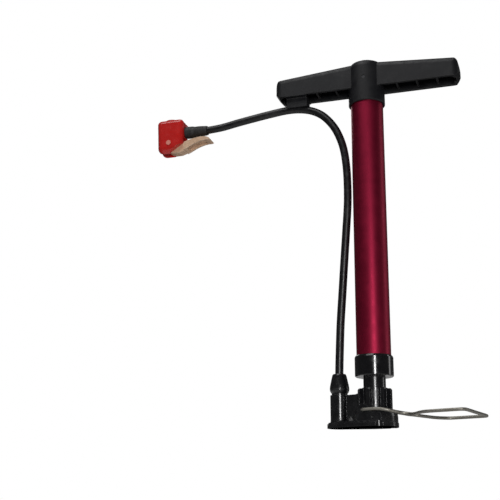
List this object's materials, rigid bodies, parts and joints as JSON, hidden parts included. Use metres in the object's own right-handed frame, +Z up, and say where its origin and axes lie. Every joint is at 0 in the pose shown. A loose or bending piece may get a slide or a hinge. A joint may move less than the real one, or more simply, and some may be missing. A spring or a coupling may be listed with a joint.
{
  "type": "ball inflation pump",
  "caption": "Small hand floor pump for balls: slim barrel on a ribbed base with a wire foot loop, T handle, and a hose with a lever head.",
  "frame": {"origin": "under the barrel axis on the base's standing face", "axes": "+Z up along the barrel axis, +X from the barrel to the foot loop, -X to the hose boss, +Y to the back"},
  "size_m": [0.2553, 0.0748, 0.2941],
  "materials": {
    "base_plastic": "satin black nylon moulding",
    "cap_plastic": "gloss black",
    "barrel_red": "satin crimson anodised",
    "handle_plastic": "fine-grained black",
    "steel": "bright turned",
    "wire_steel": "dull zinc-plated wire",
    "brass": "turned brass",
    "hose_rubber": "black rubber",
    "soft_rubber": "soft black rubber",
    "head_red": "gloss red",
    "lever_cream": "cream, slightly worn",
    "inner_plastic": "natural acetal",
    "pin_red": "gloss light red",
    "dark_steel": "blackened"
  },
  "bodies": {
    "base": {"base_body": "base_plastic", "lower_cap": "cap_plastic", "barrel_seal": "soft_rubber", "barrel": "barrel_red", "top_guide": "base_plastic", "valve_seat": "brass", "hose_barb": "brass", "hose_nut": "base_plastic", "hose": "hose_rubber", "head_sleeve": "soft_rubber", "head_barb": "brass", "head_body": "head_red", "mouth_ring": "head_red", "grommet": "soft_rubber", "lever_pin": "pin_red", "pusher": "inner_plastic"},
    "piston_set": {"piston": "inner_plastic", "cup_seal": "soft_rubber", "piston_washer": "steel", "bumper": "soft_rubber"},
    "handle_set": {"handle": "handle_plastic", "handle_pin": "dark_steel", "rod": "steel", "piston_nut": "brass"},
    "foot_loop": {"foot_wire": "wire_steel"},
    "head_lever": {"lever": "lever_cream"},
    "check_ball": {"valve_ball": "steel", "valve_spring": "steel"}
  },
  "joints": [
    {"name": "pump_stroke", "type": "slide", "parent": "base", "child": "piston_set", "axis": [0, 0, 1], "range_m": [0, 0.1845]},
    {"name": "handle_turn", "type": "hinge", "parent": "piston_set", "child": "handle_set", "pos_m": [0, 0, 0.275], "axis": [0, 0, 1], "continuous": true},
    {"name": "foot_fold", "type": "hinge", "parent": "base", "child": "foot_loop", "pos_m": [-0.0045, 0, 0.0119], "axis": [0, -1, 0], "range_deg": [0, 55]},
    {"name": "lever_flip", "type": "hinge", "parent": "base", "child": "head_lever", "pos_m": [-0.16619, -0.03532, 0.2413], "axis": [-0.2079, 0.9781, 0], "range_deg": [0, 90]},
    {"name": "check_valve", "type": "slide", "parent": "base", "child": "check_ball", "axis": [0, 0, 1], "range_m": [0, 0.0008], "stiffness_N_per_m": 60, "springref_m": -0.001, "deforming": ["valve_spring"]}
  ]
}
